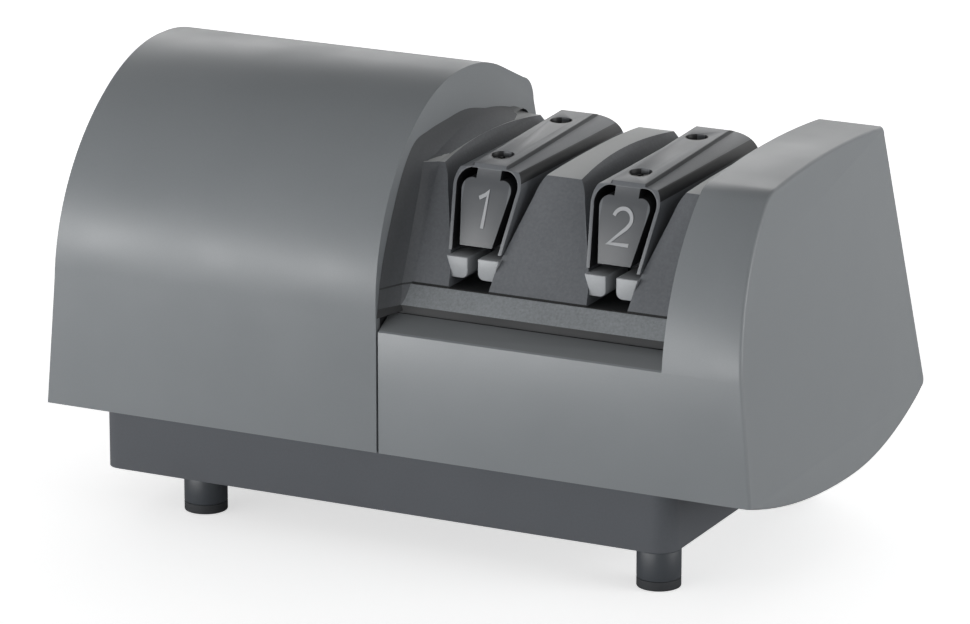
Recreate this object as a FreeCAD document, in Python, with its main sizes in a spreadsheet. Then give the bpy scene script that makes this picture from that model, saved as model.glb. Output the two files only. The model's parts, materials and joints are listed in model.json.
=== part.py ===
import FreeCAD, Part
import math
import os
import re
import Sketcher

# An electric knife sharpener in millimetres. +X runs along the shaft from the motor to the end cap,
# +Y runs from the front to the back and +Z is up. The origin is on the table under the middle of
# the object. Depths are counted back from the front face and heights up from the table. Places
# along the body are counted from the seam between the motor hood and the end housing.

DIMENSIONS = (
    ("hood_length", 116.3, "motor hood, from its left end to the seam"),
    ("end_length", 123.7, "end housing, from the seam to its right end"),
    ("overall_depth", 136.0, "front face to the rearmost line of the casing"),
    ("overall_height", 140.4, "table to the top of the hood"),
    ("wall", 2.6, "wall of the mouldings"),
    ("seam", 0.7, "shadow line between hood and end housing"),
    ("skirt", 33.2, "height of the casing's bottom edge"),
    ("hood_spring", 74.0, "height where the hood's front starts to curve"),
    ("hood_slant", 9.6, "how far the hood's left end leans in at its top"),
    ("cap_inner", 94.5, "inner face of the end cap"),
    ("cap_top", 122.4, "height of the end cap's top"),
    ("cap_slant", 8.2, "how far the end cap's outer face leans in at its top"),
    ("sill_front", 71.5, "height of the front panel's top edge"),
    ("sill_back", 75.8, "height where the front ledge ends"),
    ("ledge_depth", 8.2, "depth of the front ledge"),
    ("strip_low", 78.2, "foot of the textured strip"),
    ("strip_high", 84.2, "top of the textured strip and floor of the blade slots"),
    ("strip_depth", 13.5, "depth where the guide blocks start"),
    ("block_top", 117.8, "height of the guide blocks at their front edge"),
    ("block_crown", 119.8, "height of the guide blocks at mid depth"),
    ("block_front", 32.0, "depth of the guide blocks' top front edge"),
    ("block_back", 98.0, "depth of the guide blocks' top rear edge"),
    ("stage_first", 24.1, "first stage, from the seam to its middle"),
    ("stage_pitch", 46.05, "first stage to second stage"),
    ("slot_low", 6.7, "half width of a stage at the slot floor"),
    ("slot_knee", 7.6, "half width of a stage where its walls start to open"),
    ("knee_height", 91.0, "height where the walls of a stage start to open"),
    ("slot_high", 14.6, "half width of a stage below the rounded tops of the blocks"),
    ("round_height", 112.0, "height where the blocks start to round over"),
    ("shaft_depth", 57.2, "drive shaft behind the front face"),
    ("shaft_height", 72.0, "drive shaft above the table"),
    ("shaft_radius", 4.0, "drive shaft"),
    ("running_gap", 0.05, "radial clearance of a running fit"),
    ("saddle_top", 122.5, "top of a guide saddle"),
    ("saddle_screw_front", 37.0, "depth of a saddle's front screw"),
    ("saddle_screw_back", 77.5, "depth of a saddle's rear screw"),
    ("disc_radius", 21.0, "rim of an abrasive disc"),
    ("disc_bore", 11.0, "bore of an abrasive disc, on its hub"),
    ("base_left", 101.0, "left end of the base, from the seam"),
    ("base_right", 94.3, "right end of the base, from the seam"),
    ("base_front", 8.0, "depth of the base's front face"),
    ("base_back", 121.0, "depth of the base's rear face"),
    ("base_bottom", 12.1, "height of the base's underside"),
    ("foot_radius", 6.8, "foot"),
    ("foot_tip", 3.0, "height of the rubber tip of a foot"),
    ("switch_height", 84.0, "height of the rocker switch"),
    ("switch_depth", 62.0, "depth of the rocker switch"),
)

os.makedirs("parts", exist_ok=True)
doc = FreeCAD.newDocument("knife_sharpener")
sheet = doc.addObject("Spreadsheet::Sheet", "dims")
sheet.Label = "driving dimensions"
for row, (alias, value, meaning) in enumerate(DIMENSIONS, start=1):
    sheet.set(f"A{row}", meaning)
    sheet.set(f"B{row}", str(value))
    sheet.setAlias(f"B{row}", alias)
doc.recompute()

ALIASES = {alias for alias, _, _ in DIMENSIONS}
SUB_PARTS = []


def formula(text):
    """A size written with the sheet's words, as an expression on the sheet's cells."""
    return re.sub(r"[a-z_]+", lambda word: f"dims.{word[0]}" if word[0] in ALIASES else word[0], str(text))


def size(text):
    """The value, in millimetres, of a size written with the sheet's words."""
    return float(sheet.evalExpression(formula(text)))


def bind(thing, prop, text):
    """Bind a property to the sheet's cells."""
    thing.setExpression(prop, formula(text))


def place(thing, along="0", depth="0", height="0"):
    """Put a sub-part's own origin at a place counted from the seam, the front face and the table."""
    thing.setExpression("Placement.Base.x", formula(f"(hood_length - end_length) / 2 + {along}"))
    thing.setExpression("Placement.Base.y", formula(f"{depth} - overall_depth / 2"))
    thing.setExpression("Placement.Base.z", formula(height))


def sub_part(thing, name):
    """Name a finished sub-part, which also names its file."""
    thing.Label = name
    SUB_PARTS.append(thing)
    return thing


def empty_body(name, along="0", depth="0", height="0"):
    """An empty body, its origin placed from the seam, the front face and the table."""
    body = doc.addObject("PartDesign::Body", name)
    place(body, along, depth, height)
    return body


def body_at(name, along="0", depth="0", height="0"):
    """An empty body that is a sub-part of its own."""
    return sub_part(empty_body(name, along, depth, height), name)


def sketch_on(body, role, offset="0"):
    """A sketch on one of the body's own origin planes, moved along the plane's normal."""
    sketch = body.newObject("Sketcher::SketchObject", f"{body.Name}_sketch")
    plane = [feature for feature in body.Origin.OriginFeatures if feature.Role == role][0]
    sketch.AttachmentSupport = (plane, [""])
    sketch.MapMode = "FlatFace"
    bind(sketch, "AttachmentOffset.Base.z", offset)
    return sketch


def draw(sketch, start, *steps):
    """Draw a closed outline. A step is (x, y) for a line or (mid_x, mid_y, x, y) for an arc."""
    corners = [start] + [step[-2:] for step in steps]
    if corners[-1] != start:
        steps += (start,)
    points = [FreeCAD.Vector(size(x), size(y), 0) for x, y in corners]
    here = points[0]
    ends = []
    for step in steps:
        there = FreeCAD.Vector(size(step[-2]), size(step[-1]), 0)
        if len(step) == 2:
            number = sketch.addGeometry(Part.LineSegment(here, there), False)
            ends.append((number, 1, 2))
        else:
            middle = FreeCAD.Vector(size(step[0]), size(step[1]), 0)
            number = sketch.addGeometry(Part.Arc(here, middle, there), False)
            forward = sketch.getPoint(number, 1).distanceToPoint(here) < 1e-6
            ends.append((number, 1, 2) if forward else (number, 2, 1))
        here = there
    for index, (number, first, last) in enumerate(ends):
        next_number, next_first, _ = ends[(index + 1) % len(ends)]
        sketch.addConstraint(Sketcher.Constraint("Coincident", number, last, next_number, next_first))
        x, y = ([start] + [step[-2:] for step in steps])[index]
        for kind, text in (("DistanceX", x), ("DistanceY", y)):
            datum = sketch.addConstraint(Sketcher.Constraint(kind, -1, 1, number, first, size(text)))
            bind(sketch, f"Constraints[{datum}]", text)
    return sketch


def draw_circle(sketch, x, y, radius):
    """Draw a circle with its centre and radius bound to the sheet."""
    centre = FreeCAD.Vector(size(x), size(y), 0)
    number = sketch.addGeometry(Part.Circle(centre, FreeCAD.Vector(0, 0, 1), size(radius)), False)
    for kind, text in (("DistanceX", x), ("DistanceY", y)):
        datum = sketch.addConstraint(Sketcher.Constraint(kind, -1, 1, number, 3, size(text)))
        bind(sketch, f"Constraints[{datum}]", text)
    datum = sketch.addConstraint(Sketcher.Constraint("Radius", number, size(radius)))
    bind(sketch, f"Constraints[{datum}]", radius)
    return sketch


def check(feature):
    """Stop at the first feature that fails."""
    if {"Invalid", "Error", "Touched"} & set(feature.State):
        raise ValueError(f"{feature.Name}: {feature.getStatusString()}")


def extrude(body, kind, sketch, length, reverse=False, both=False):
    """A Pad or a Pocket of a sketch by a bound length."""
    feature = body.newObject(f"PartDesign::{kind}", f"{body.Name}_{kind.lower()}")
    feature.Profile = sketch
    bind(feature, "Length", length)
    feature.Midplane = both
    feature.Reversed = reverse
    doc.recompute()
    check(feature)
    return feature


def pad(body, sketch, length, reverse=False, both=False):
    return extrude(body, "Pad", sketch, length, reverse, both)


def pocket(body, sketch, length, reverse=False, both=False):
    """A Pocket that must take material away."""
    before = body.Shape.Volume
    feature = extrude(body, "Pocket", sketch, length, reverse, both)
    if body.Shape.Volume > before - 0.01:
        raise ValueError(f"{feature.Name} cuts nothing")
    return feature


def turned(name, along, *outline, depth="shaft_depth", height="shaft_height"):
    """A piece turned about an axis along X. Its outline is in (along, radius)."""
    body = body_at(name, along, depth, height)
    revolve(body, draw(sketch_on(body, "XZ_Plane"), *outline), "H_Axis")
    return body


def revolve(body, sketch, axis):
    feature = body.newObject("PartDesign::Revolution", f"{body.Name}_revolution")
    feature.Profile = sketch
    feature.ReferenceAxis = (sketch, [axis])
    feature.Angle = 360
    doc.recompute()
    check(feature)


# Motor hood: a tall arched shell, open below, whose left end leans in
REAR_LOW = ("overall_depth - 0.4", "37.6")
PASSAGE_TOP = "shaft_height + 8"
HOOD_LEAN = "hood_slant / (overall_height + 5 - skirt)"


def hood_block(name, start, inset, outline):
    """A block of the hood's profile, whose left end leans in."""
    block = empty_body(name)
    pad(block, draw(sketch_on(block, "YZ_Plane", "-hood_length"), *outline), f"hood_length - {start}")
    slant = draw(
        sketch_on(block, "XZ_Plane"),
        (f"-hood_length + {inset}", "skirt"),
        ("-hood_length - 5", "skirt"),
        ("-hood_length - 5", "overall_height + 5"),
        (f"-hood_length + {inset} + hood_slant", "overall_height + 5"),
    )
    pocket(block, slant, "400", both=True)
    return block


hood_outside = hood_block(
    "hood_outside",
    "seam / 2",
    "0",
    (
        ("0", "skirt"),
        ("0", "hood_spring"),
        ("6.6", "107.3", "24", "128.3"),
        ("39", "136.9", "60", "overall_height"),
        ("73", "139.2", "85", "135.4"),
        ("101", "128.3"),
        ("106.2", "125", "108.2", "119.5"),
        REAR_LOW,
        ("overall_depth - 1.2", "34.6", "overall_depth - 5", "skirt"),
    ),
)
hood_inside = hood_block(
    "hood_inside",
    "seam / 2 - wall",
    "wall",
    (
        ("wall", "skirt"),
        ("wall", "hood_spring"),
        ("9.1", "106.3", "25.9", "126.4"),
        ("40", "134.4", "60", "overall_height - wall"),
        ("72.4", "136.6", "84", "133"),
        ("99.6", "126"),
        ("103.6", "123.6", "105.6", "118.8"),
        ("overall_depth - 3.1", "37.6"),
        ("overall_depth - 7.4", "skirt"),
    ),
)

# Opening for the shaft and the base in the hood's right wall
hood_passage = draw(
    sketch_on(hood_outside, "YZ_Plane", "-seam / 2 - wall - 1"),
    ("wall", "skirt - 1"),
    ("wall", PASSAGE_TOP),
    ("116", PASSAGE_TOP),
    ("127.6", "44"),
    ("127.6", "skirt - 1"),
)
pocket(hood_outside, hood_passage, "wall + 2", reverse=True)

# Opening for the rocker switch in the hood's left end
switch_opening = draw(
    sketch_on(hood_outside, "YZ_Plane", "-hood_length - 1"),
    ("switch_depth - 6.4", "switch_height - 10.7"),
    ("switch_depth + 6.4", "switch_height - 10.7"),
    ("switch_depth + 6.4", "switch_height + 10.7"),
    ("switch_depth - 6.4", "switch_height + 10.7"),
)
pocket(hood_outside, switch_opening, "14", reverse=True)

hood = doc.addObject("Part::Cut", "motor_hood")
hood.Base = hood_outside
hood.Tool = hood_inside
sub_part(hood, "motor_hood")

# End housing: front and rear panels and the end cap in one moulding
housing = body_at("end_housing")
CAP_OUTLINE = (
    ("0", "skirt"),
    ("0", "sill_front"),
    ("9.4", "100.2", "27.4", "120.6"),
    ("30.6", "121.8", "34.5", "cap_top - 0.2"),
    ("75", "cap_top + 1.7", "115.3", "cap_top - 0.1"),
    ("116.3", "121.2", "116.6", "119.6"),
    REAR_LOW,
    ("overall_depth - 0.8", "35.4", "overall_depth - 2.6", "34.2"),
    ("110", "25.3", "79", "21.3"),
    ("40", "24.2", "0", "skirt"),
)
pad(housing, draw(sketch_on(housing, "YZ_Plane", "cap_inner"), *CAP_OUTLINE), "end_length - cap_inner")
slant = draw(
    sketch_on(housing, "XZ_Plane"),
    ("end_length", "skirt"),
    ("end_length + 5", "skirt"),
    ("end_length + 5", "cap_top + 5"),
    ("end_length - cap_slant", "cap_top + 5"),
)
pocket(housing, slant, "400", both=True)
cavity = draw(
    sketch_on(housing, "YZ_Plane", "cap_inner + wall"),
    ("wall", "skirt + wall"),
    ("wall", "sill_front"),
    ("12", "99", "30.5", "117.8"),
    ("70", "cap_top - wall + 0.6", "112", "cap_top - wall - 1"),
    ("overall_depth - 4", "38"),
    ("126", "34.6"),
    ("80", "24.2", "33", "28.4"),
)
pocket(housing, cavity, "end_length - cap_inner - 2 * wall - cap_slant", reverse=True)
passage = draw(
    sketch_on(housing, "YZ_Plane", "cap_inner - 1"),
    ("wall + 0.4", "skirt + wall"),
    ("wall + 0.4", "68"),
    ("8", PASSAGE_TOP),
    ("110", PASSAGE_TOP),
    ("124", "skirt + wall"),
)
pocket(housing, passage, "wall + 2", reverse=True)
front_panel = draw(
    sketch_on(housing, "YZ_Plane", "seam / 2"),
    ("0", "skirt"),
    ("0", "sill_front"),
    ("ledge_depth", "sill_back"),
    ("ledge_depth", "sill_back - wall"),
    ("wall", "sill_front - wall"),
    ("wall", "skirt"),
)
pad(housing, front_panel, "cap_inner - seam / 2 + 0.5")
rear_panel = draw(
    sketch_on(housing, "YZ_Plane", "seam / 2"),
    REAR_LOW,
    ("overall_depth - 8.2", "sill_front"),
    ("117.2", "sill_back"),
    ("117.2", "sill_back - wall"),
    ("overall_depth - 10.8", "sill_front - wall"),
    ("overall_depth - 3.8", "39"),
    ("127", "36.6"),
    ("127", "skirt"),
    ("overall_depth - 2.6", "34.2"),
    ("overall_depth - 0.8", "35.4", *REAR_LOW),
)
pad(housing, rear_panel, "cap_inner - seam / 2 + 0.5")

# Bay housing: three guide blocks with blade slots between them, on a textured strip
bay = body_at("bay_housing")
BLOCK_OUTLINE = (
    ("ledge_depth + 1", "62"),
    ("ledge_depth + 1", "strip_low"),
    ("strip_depth", "strip_high"),
    ("block_front", "block_top"),
    ("65", "block_crown", "block_back", "block_top - 0.2"),
    ("112.5", "strip_high"),
    ("116.2", "strip_low"),
    ("116.2", "62"),
)
pad(bay, draw(sketch_on(bay, "YZ_Plane", "5"), *BLOCK_OUTLINE), "cap_inner - 5")

# A raised arched collar against the hood falls away to the left guide block
collar_sketch = draw(
    sketch_on(bay, "YZ_Plane", "0"),
    ("ledge_depth", "62"),
    ("ledge_depth", "strip_low + 1"),
    ("7.2", "strip_high + 0.2"),
    ("25", "118.5"),
    ("60", "125.2", "101", "117.4"),
    ("115", "strip_high + 0.2"),
    ("116.6", "strip_low + 1"),
    ("116.6", "62"),
)
block_sketch = draw(sketch_on(bay, "YZ_Plane", "5.1"), *BLOCK_OUTLINE)
collar = bay.newObject("PartDesign::AdditiveLoft", "bay_collar")
collar.Profile = collar_sketch
collar.Sections = [block_sketch]
collar.Ruled = True
doc.recompute()

STAGES = ("stage_first", "stage_first + stage_pitch")
for stage in STAGES:
    blade_slot = draw(
        sketch_on(bay, "XZ_Plane"),
        (f"{stage} - slot_low", "strip_high"),
        (f"{stage} + slot_low", "strip_high"),
        (f"{stage} + slot_knee", "knee_height"),
        (f"{stage} + slot_high", "round_height"),
        (f"{stage} + slot_high + 1.7", "round_height + 4.4", f"{stage} + slot_high + 4.6", "block_crown + 0.2"),
        (f"{stage} + slot_high + 4.6", "block_top + 12"),
        (f"{stage} - slot_high - 4.6", "block_top + 12"),
        (f"{stage} - slot_high - 4.6", "block_crown + 0.2"),
        (f"{stage} - slot_high - 1.7", "round_height + 4.4", f"{stage} - slot_high", "round_height"),
        (f"{stage} - slot_knee", "knee_height"),
    )
    pocket(bay, blade_slot, "400", both=True)
under = draw(
    sketch_on(bay, "YZ_Plane", "wall"),
    ("ledge_depth + 1 + wall", "50"),
    ("ledge_depth + 1 + wall", "strip_low"),
    ("strip_depth + wall", "strip_high - wall"),
    ("110", "strip_high - wall"),
    ("116.2 - wall", "strip_low"),
    ("116.2 - wall", "50"),
)
pocket(bay, under, "cap_inner - 2 * wall", reverse=True)
for stage in STAGES:
    window = draw(
        sketch_on(bay, "XY_Plane", "strip_low"),
        (f"{stage} - 11.4", "shaft_depth - 19.2"),
        (f"{stage} + 11.4", "shaft_depth - 19.2"),
        (f"{stage} + 11.4", "shaft_depth + 19.2"),
        (f"{stage} - 11.4", "shaft_depth + 19.2"),
    )
    pocket(bay, window, "14", reverse=True)
shaft_hole = draw_circle(sketch_on(bay, "YZ_Plane", "-1"), "shaft_depth", "shaft_height", "shaft_radius + 2")
pocket(bay, shaft_hole, "cap_inner + 2", reverse=True)
middle = "stage_first + stage_pitch / 2"
core_out = draw(
    sketch_on(bay, "XZ_Plane", "-38"),
    (f"{middle} - stage_pitch / 2 + slot_low + 3", "strip_high - 4"),
    (f"{middle} + stage_pitch / 2 - slot_low - 3", "strip_high - 4"),
    (f"{middle} + 3.4", "block_top - 3.6"),
    (f"{middle} - 3.4", "block_top - 3.6"),
)
pocket(bay, core_out, "56")


# Guide saddles: a top plate with flexible arms round a numbered core
def guide_saddle(name, stage):
    saddle = body_at(name, stage)
    section = sketch_on(saddle, "XZ_Plane", "-14")
    draw(
        section,
        ("-5.6", "saddle_top"),
        ("5.6", "saddle_top"),
        ("6", "saddle_top - 0.9"),
        ("9.8", "saddle_top - 4", "11.2", "112.6"),
        ("8.8", "95"),
        ("7.7", "95"),
        ("10.05", "112.4"),
        ("8.9", "117", "4", "118.4"),
        ("4", "115.6"),
        ("7.4", "114.8", "8.2", "112"),
        ("5.4", "95.4"),
        ("-5.4", "95.4"),
        ("-8.2", "112"),
        ("-7.4", "114.8", "-4", "115.6"),
        ("-4", "118.4"),
        ("-8.9", "117", "-10.05", "112.4"),
        ("-7.7", "95"),
        ("-8.8", "95"),
        ("-11.2", "112.6"),
        ("-9.8", "saddle_top - 4", "-6", "saddle_top - 0.9"),
    )
    pad(saddle, section, "102", reverse=True)
    front_cut = draw(
        sketch_on(saddle, "YZ_Plane"),
        ("10", "90"),
        ("15.6", "90"),
        ("30", "saddle_top + 0.2"),
        ("30", "saddle_top + 4"),
        ("10", "saddle_top + 4"),
    )
    pocket(saddle, front_cut, "60", both=True)
    rear_cut = draw(
        sketch_on(saddle, "YZ_Plane"),
        ("120", "90"),
        ("106.6", "90"),
        ("99.5", "113.5"),
        ("95.6", "119.4", "88.5", "saddle_top + 0.1"),
        ("88.5", "saddle_top + 4"),
        ("120", "saddle_top + 4"),
    )
    pocket(saddle, rear_cut, "60", both=True)
    for screw in ("saddle_screw_front", "saddle_screw_back"):
        leg = draw(
            sketch_on(saddle, "XY_Plane", "strip_high"),
            ("-2.2", f"{screw} - 2.2"),
            ("2.2", f"{screw} - 2.2"),
            ("2.2", f"{screw} + 2.2"),
            ("-2.2", f"{screw} + 2.2"),
        )
        pad(saddle, leg, "97.8 - strip_high")
        recess = draw_circle(sketch_on(saddle, "XY_Plane", "saddle_top + 1"), "0", screw, "3.45")
        pocket(saddle, recess, "4.6")
        bore = draw_circle(sketch_on(saddle, "XY_Plane", "saddle_top"), "0", screw, "1.55")
        pocket(saddle, bore, "60")
    return saddle


for number, stage in enumerate(STAGES, start=1):
    guide_saddle(f"guide_saddle_{number}", stage)


def blade_rest(name, stage, side, near, length):
    """A pad that carries the blade's edge, seated against the wall of its slot."""
    rest = body_at(name, stage, near)
    low = f"{side} * (slot_low + (slot_knee - slot_low) * (88.2 - strip_high) / (knee_height - strip_high))"
    high = f"{side} * (slot_knee + (slot_high - slot_knee) * (94.8 - knee_height) / (round_height - knee_height))"
    section = draw(
        sketch_on(rest, "XZ_Plane"),
        (f"{side} * 1.7", "94.8"),
        (f"{side} * 1.7", "90.2"),
        (f"{side} * 2.3", "88.8", f"{side} * 3.7", "88.2"),
        (low, "88.2"),
        (f"{side} * slot_knee", "knee_height"),
        (high, "94.8"),
    )
    pad(rest, section, length, reverse=True)


for number, stage in enumerate(STAGES, start=1):
    for side_name, side in (("left", -1), ("right", 1)):
        blade_rest(f"blade_rest_{number}_front_{side_name}", stage, side, "16.4", "16")
        blade_rest(f"blade_rest_{number}_rear_{side_name}", stage, side, "82", "22")

# Screws that hold the saddles, with their heads down in the recesses
screws = []
for stage in STAGES:
    for screw in ("saddle_screw_front", "saddle_screw_back"):
        head = doc.addObject("Part::Cylinder", "saddle_screw_head")
        head.Radius = 3.1
        head.Height = 2.2
        place(head, stage, screw, "saddle_top - 3.6")
        shank = doc.addObject("Part::Cylinder", "saddle_screw_shank")
        shank.Radius = 1.5
        bind(shank, "Height", "saddle_top - 3.6 - strip_high")
        place(shank, stage, screw, "strip_high")
        screw_body = doc.addObject("Part::Fuse", "saddle_screw")
        screw_body.Base = head
        screw_body.Tool = shank
        screws.append(screw_body)
screw_group = doc.addObject("Part::Compound", "saddle_screws")
screw_group.Links = screws
sub_part(screw_group, "saddle_screws")

# Base tray, set back under the casing, with a flange that closes the casing from below
base = body_at("base_tray")


def base_outline(height, inset):
    """The plan of the base, its corners rounded, drawn a distance inside its outer face."""
    left = f"-base_left + {inset}"
    right = f"base_right - {inset}"
    front = f"base_front + {inset}"
    back = f"base_back - {inset}"
    small = f"(5 - {inset})"
    large = f"(foot_radius - {inset})"
    return draw(
        sketch_on(base, "XY_Plane", height),
        (left, f"{front} + {small}"),
        (f"{left} + 0.293 * {small}", f"{front} + 0.293 * {small}", f"{left} + {small}", front),
        (f"{right} - {large}", front),
        (f"{right} - 0.293 * {large}", f"{front} + 0.293 * {large}", right, f"{front} + {large}"),
        (right, f"{back} - {large}"),
        (f"{right} - 0.293 * {large}", f"{back} - 0.293 * {large}", f"{right} - {large}", back),
        (f"{left} + {small}", back),
        (f"{left} + 0.293 * {small}", f"{back} - 0.293 * {small}", left, f"{back} - {small}"),
    )


pad(base, base_outline("base_bottom", "0"), "skirt - base_bottom + 0.5")
flange = draw(
    sketch_on(base, "XY_Plane", "skirt"),
    ("-hood_length + wall + 0.3", "wall"),
    ("base_right", "wall"),
    ("base_right", "127"),
    ("-hood_length + wall + 0.3", "127"),
)
pad(base, flange, "wall")
pocket(base, base_outline("skirt + wall", "wall"), "skirt - base_bottom")

FEET = {
    "front_left": ("-70.1", "17.9"),
    "front_right": ("base_right - foot_radius", "base_front + foot_radius"),
    "rear_left": ("-70.1", "base_back - 10"),
    "rear_right": ("base_right - foot_radius", "base_back - foot_radius"),
}
for corner, (along, depth) in FEET.items():
    for name, low, high in (
        (f"foot_{corner}", "foot_tip", "base_bottom"),
        (f"foot_pad_{corner}", "0", "foot_tip"),
    ):
        foot = body_at(name, along, depth)
        pad(foot, draw_circle(sketch_on(foot, "XY_Plane", low), "0", "0", "foot_radius"), f"{high} - {low}")

# Drive shaft with its end at the end bearing
shaft_left = "-96"
turned(
    "drive_shaft",
    "0",
    (shaft_left, "0"),
    ("cap_inner + 14", "0"),
    ("cap_inner + 14", "shaft_radius - 0.5"),
    ("cap_inner + 13.5", "shaft_radius"),
    (f"{shaft_left} + 0.5", "shaft_radius"),
    (shaft_left, "shaft_radius - 0.5"),
)


def sleeve(name, along, length, outer, inner="shaft_radius + running_gap"):
    """A plain ring round the shaft."""
    turned(name, along, ("0", inner), ("0", outer), (length, outer), (length, inner))


sleeve("rotor_core", "-78", "30", "21", "shaft_radius")
sleeve("bearing_left", "-90", "7", "8")
sleeve("bearing_right", "-34", "7", "8")
sleeve("end_bearing", "cap_inner + 4", "8", "8")

# Abrasive discs: two a stage, pressed apart by a spring, free to slide inwards
for number, stage in enumerate(STAGES, start=1):
    for side_name, side in (("left", -1), ("right", 1)):
        turned(
            f"disc_hub_{number}_{side_name}",
            stage,
            (f"{side} * 6.4", "shaft_radius + running_gap"),
            (f"{side} * 6.4", "disc_bore"),
            (f"{side} * 11", "disc_bore"),
            (f"{side} * 11", "shaft_radius + running_gap"),
        )
        turned(
            f"abrasive_ring_{number}_{side_name}",
            stage,
            (f"{side} * 2", "disc_bore"),
            (f"{side} * 2", "disc_radius"),
            (f"{side} * 4.5", "disc_radius"),
            (f"{side} * 9", "disc_bore"),
        )
    sleeve(f"disc_spring_{number}", f"{stage} - 6.3", "12.6", "6.6", "5.4")
    for side_name, side in (("left", -1), ("right", 1)):
        start = f"{stage} + 11.05" if side > 0 else f"{stage} - 11.85"
        sleeve(f"stop_ring_{number}_{side_name}", start, "0.8", "6.4", "shaft_radius")

# Shaded-pole motor: laminated frame, coil, end brackets and a cooling fan
stator = body_at("stator_laminations", "-78", "shaft_depth", "shaft_height")
frame_section = draw(
    sketch_on(stator, "YZ_Plane"),
    ("-34", "-30"),
    ("-34", "46"),
    ("34", "46"),
    ("34", "-30"),
)
pad(stator, frame_section, "30")
draw_circle(sketch_on(stator, "YZ_Plane"), "0", "0", "21.6")
pocket(stator, stator.Group[-1], "30", reverse=True)
coil_window = draw(sketch_on(stator, "YZ_Plane"), ("-18", "26"), ("-18", "40"), ("18", "40"), ("18", "26"))
pocket(stator, coil_window, "30", reverse=True)

bobbin = body_at("field_coil", "-78", "shaft_depth", "shaft_height")
coil_outer = draw(
    sketch_on(bobbin, "XZ_Plane", "16"),
    ("-10", "27"),
    ("40", "27"),
    ("40", "59"),
    ("-10", "59"),
)
pad(bobbin, coil_outer, "32", reverse=True)
coil_core = draw(
    sketch_on(bobbin, "XZ_Plane", "20"),
    ("-0.1", "39.9"),
    ("30.1", "39.9"),
    ("30.1", "46.1"),
    ("-0.1", "46.1"),
)
pocket(bobbin, coil_core, "40")


def bracket(name, along, face):
    """A pressed strap across the motor frame that holds a bearing."""
    strap = body_at(name, along, "shaft_depth", "shaft_height")
    plate = draw(
        sketch_on(strap, "YZ_Plane"),
        ("-34", "-9"),
        ("-34", "9"),
        ("-14", "15"),
        ("14", "15"),
        ("34", "9"),
        ("34", "-9"),
        ("14", "-15"),
        ("-14", "-15"),
    )
    pad(strap, plate, "3")
    for side in (-1, 1):
        ear = draw(
            sketch_on(strap, "YZ_Plane", "3" if face > 0 else "0"),
            (f"{side} * 34", "-9"),
            (f"{side} * 34", "9"),
            (f"{side} * 27", "9"),
            (f"{side} * 27", "-9"),
        )
        pad(strap, ear, "6" if face > 0 else "16", reverse=face < 0)
    pocket(strap, draw_circle(sketch_on(strap, "YZ_Plane"), "0", "0", "8"), "3", reverse=True)
    return strap


bracket("motor_bracket_left", "-87", 1)
bracket("motor_bracket_right", "-32", -1)

fan = body_at("cooling_fan", "-46.5", "shaft_depth", "shaft_height")
pad(fan, draw_circle(sketch_on(fan, "YZ_Plane"), "0", "0", "9"), "8")
blade = draw(
    sketch_on(fan, "YZ_Plane"),
    ("8", "-0.8"),
    ("20.5", "-3.4"),
    ("20.5", "-1.8"),
    ("8", "0.8"),
)
blade_pad = pad(fan, blade, "8")
fan_blades = fan.newObject("PartDesign::PolarPattern", "fan_blades")
fan_blades.Originals = [blade_pad]
fan_blades.Axis = (blade, ["N_Axis"])
fan_blades.Angle = 360
fan_blades.Occurrences = 7
fan.Tip = fan_blades
doc.recompute()
pocket(fan, draw_circle(sketch_on(fan, "YZ_Plane"), "0", "0", "shaft_radius"), "8", reverse=True)

# Motor carrier: a bent plate from the base floor up to the motor frame
carrier = body_at("motor_carrier")
carrier_side = draw(
    sketch_on(carrier, "YZ_Plane", "-78"),
    ("shaft_depth - 34", "base_bottom + wall"),
    ("shaft_depth + 34", "base_bottom + wall"),
    ("shaft_depth + 34", "shaft_height - 30"),
    ("shaft_depth - 34", "shaft_height - 30"),
)
pad(carrier, carrier_side, "30")
carrier_arch = draw(
    sketch_on(carrier, "XZ_Plane"),
    ("-74", "base_bottom"),
    ("-74", "shaft_height - 33"),
    ("-52", "shaft_height - 33"),
    ("-52", "base_bottom"),
)
pocket(carrier, carrier_arch, "400", both=True)

# End bearing bracket, a plate on the end cap's inner wall with a boss for the bearing
stand = body_at("end_bearing_bracket", "cap_inner + wall", "shaft_depth")
stand_outline = draw(
    sketch_on(stand, "YZ_Plane"),
    ("-16", "shaft_height - 14"),
    ("-22", "shaft_height + 10"),
    ("-22", "shaft_height + 24"),
    ("22", "shaft_height + 24"),
    ("22", "shaft_height + 10"),
    ("16", "shaft_height - 14"),
)
pad(stand, stand_outline, "2.4")
pad(stand, draw_circle(sketch_on(stand, "YZ_Plane"), "0", "shaft_height", "11"), "9.4")
bearing_seat = draw_circle(sketch_on(stand, "YZ_Plane", "-1"), "0", "shaft_height", "8")
pocket(stand, bearing_seat, "12", reverse=True)

# Cable gland in the base's rear wall
gland = body_at("cable_gland", "-82", "base_back", "24")
revolve(
    gland,
    draw(
        sketch_on(gland, "YZ_Plane"),
        ("-wall - 2", "3.3"),
        ("-wall - 2", "6.6"),
        ("-wall", "6.6"),
        ("-wall", "5"),
        ("0", "5"),
        ("0", "7"),
        ("3", "7"),
        ("3", "3.3"),
    ),
    "H_Axis",
)
gland_bore = draw_circle(sketch_on(base, "XZ_Plane", "-base_back - 1"), "-82", "24", "5")
pocket(base, gland_bore, "wall + 3", reverse=True)

# Rocker switch in the hood's left end
tilt = FreeCAD.Rotation(FreeCAD.Vector(0, 1, 0), math.degrees(math.atan(size(HOOD_LEAN))))


def on_end_face(name):
    """An empty body on the leaning end face at the switch, its +X pointing into the hood."""
    body = empty_body(name)
    body.Placement = FreeCAD.Placement(FreeCAD.Vector(), tilt)
    place(body, f"-hood_length + {HOOD_LEAN} * (switch_height - skirt)", "switch_depth", "switch_height")
    return sub_part(body, name)


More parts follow.
